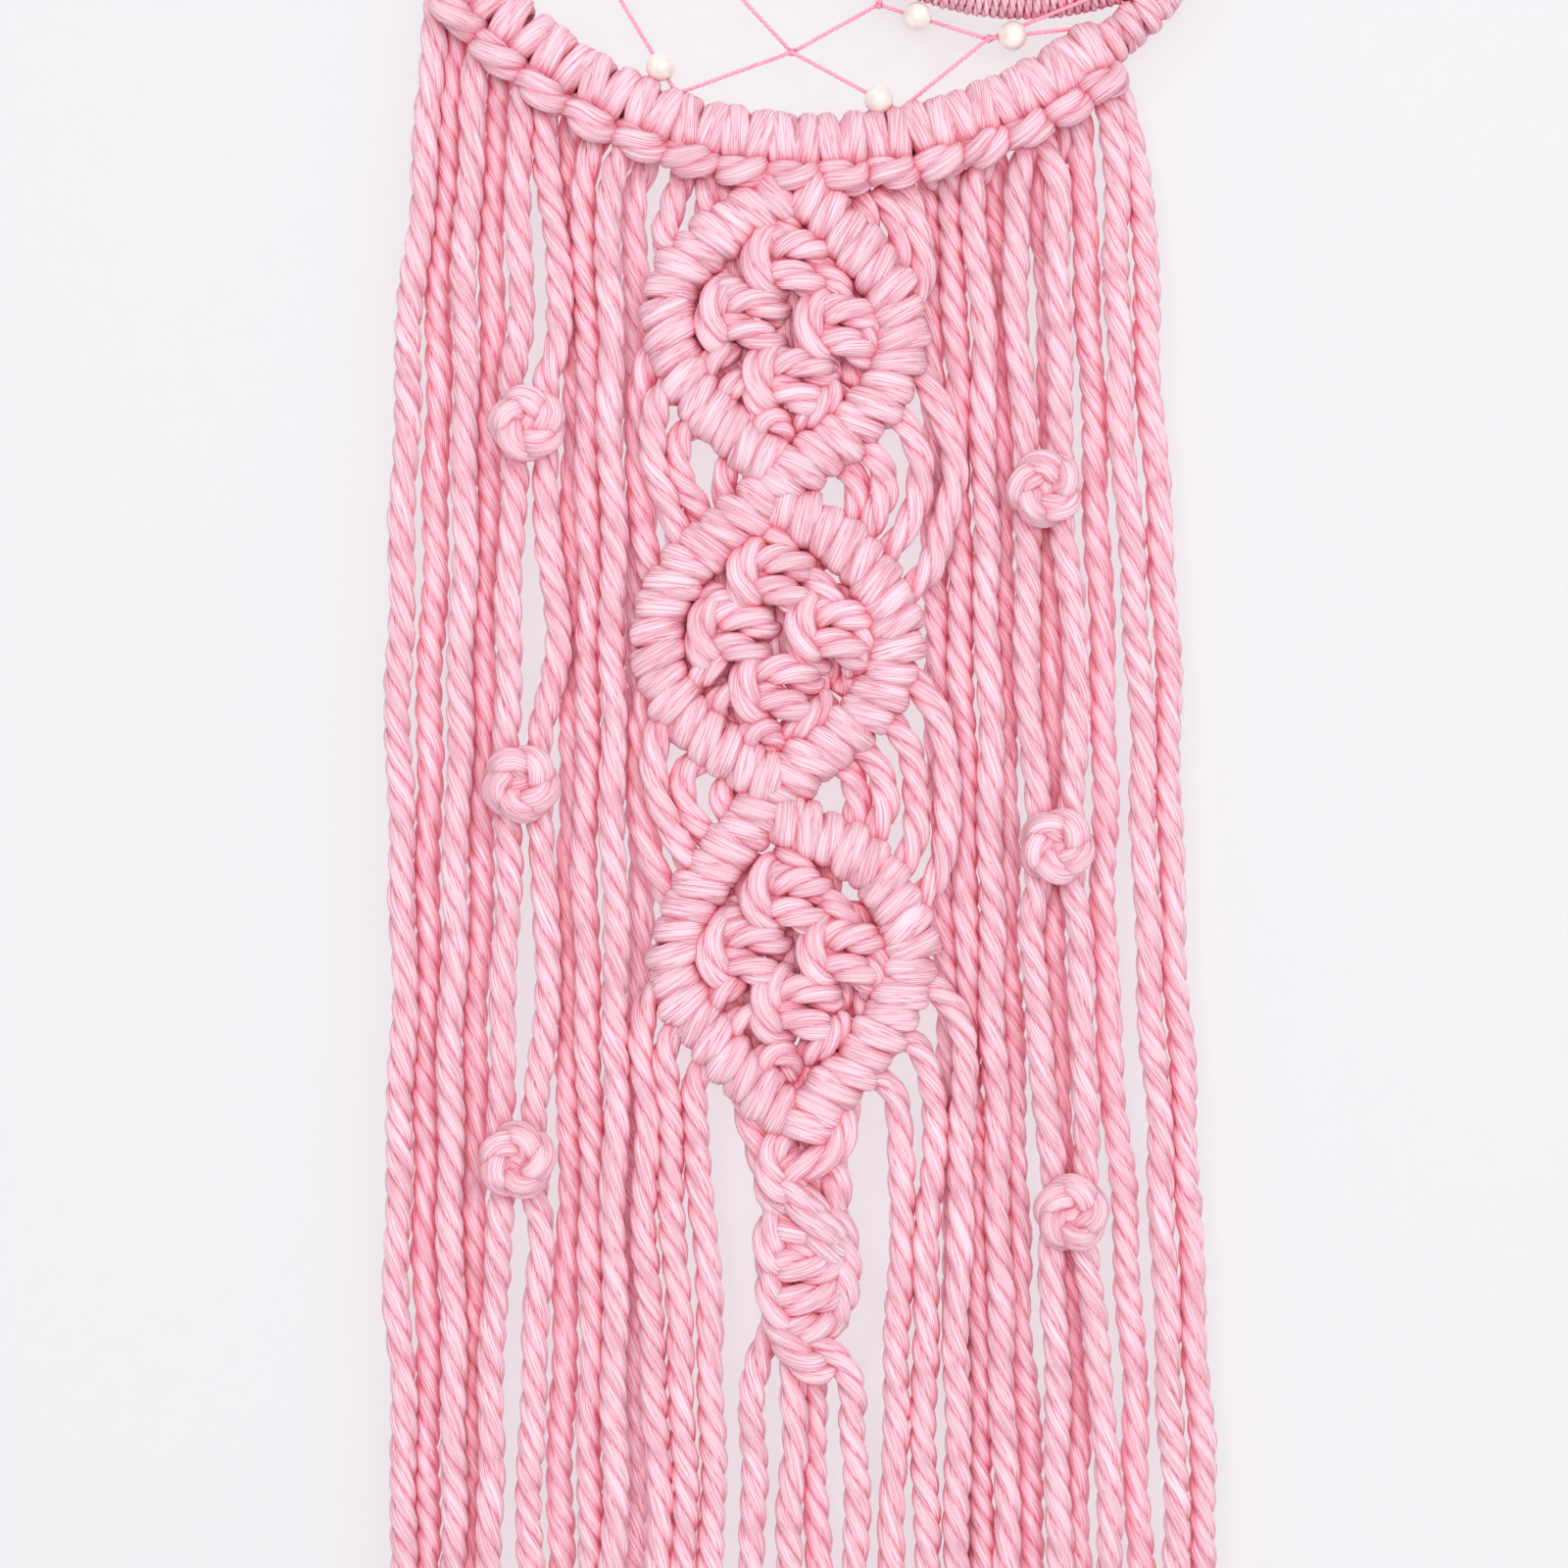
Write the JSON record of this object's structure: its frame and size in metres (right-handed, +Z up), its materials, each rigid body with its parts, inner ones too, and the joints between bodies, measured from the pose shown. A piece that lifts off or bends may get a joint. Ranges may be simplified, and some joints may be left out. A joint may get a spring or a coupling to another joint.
{
  "type": "macrame wall hanging and hoop",
  "caption": "Pink cotton macrame wall hanging on a crescent moon hoop, with knotted diamonds down the middle, button knots on the outer cords, a beaded net in the moon and a long fringe.",
  "frame": {"origin": "the top of the inside of the hanging loop, where the hook carries it", "axes": "+Z up, +Y towards the wall, +X to the right seen from the front"},
  "size_m": [0.1544, 0.0147, 0.6037],
  "materials": {
    "cotton_cord": "matte",
    "pink_thread": "satin",
    "pearl": "glossy"
  },
  "bodies": {
    "root": {"outer_hoop": "cotton_cord", "inner_hoop": "cotton_cord", "hanging_loop": "cotton_cord", "cord_01": "cotton_cord", "cord_02": "cotton_cord", "cord_03": "cotton_cord", "cord_04": "cotton_cord", "cord_05": "cotton_cord", "centre_panel": "cotton_cord", "cord_11": "cotton_cord", "cord_12": "cotton_cord", "cord_13": "cotton_cord", "cord_14": "cotton_cord", "cord_15": "cotton_cord", "web_thread": "pink_thread", "pearl_01": "pearl", "pearl_02": "pearl", "pearl_03": "pearl", "pearl_04": "pearl", "pearl_05": "pearl", "pearl_06": "pearl", "pearl_07": "pearl", "pearl_08": "pearl", "pearl_09": "pearl", "pearl_10": "pearl", "pearl_11": "pearl", "pearl_12": "pearl"}
  },
  "joints": []
}
